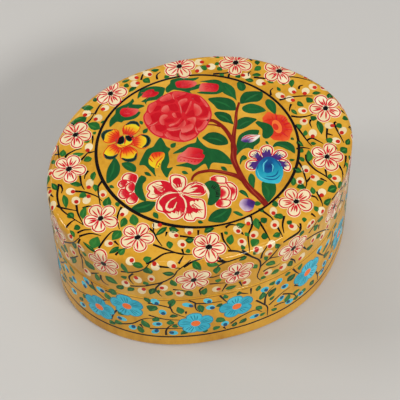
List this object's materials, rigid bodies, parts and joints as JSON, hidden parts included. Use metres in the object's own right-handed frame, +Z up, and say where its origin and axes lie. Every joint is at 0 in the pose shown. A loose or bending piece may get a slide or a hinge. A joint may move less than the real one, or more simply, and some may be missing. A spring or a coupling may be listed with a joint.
{
  "type": "papier-mache box",
  "caption": "Oval lidded trinket box of painted and lacquered papier-mache, with a lid that lifts straight up off an inner collar.",
  "frame": {"origin": "centre of the underside, on the surface that the box stands on", "axes": "+X along the oval's long axis, +Y along its short axis, +Z up through the lid"},
  "size_m": [0.128, 0.1014, 0.064],
  "materials": {
    "outside_lacquer": "golden ochre gouache with hand-painted flowers under glossy clear lacquer",
    "inside_lacquer": "dark satin lacquer"
  },
  "bodies": {
    "base": {"base_floor": "outside_lacquer", "base_wall": "outside_lacquer", "inner_collar": "inside_lacquer"},
    "lid": {"lid_wall": "outside_lacquer", "lid_top": "outside_lacquer"}
  },
  "joints": [
    {"name": "lid_lift", "type": "slide", "parent": "base", "child": "lid", "axis": [0, 0, 1], "range_m": [0, 0.04]}
  ]
}
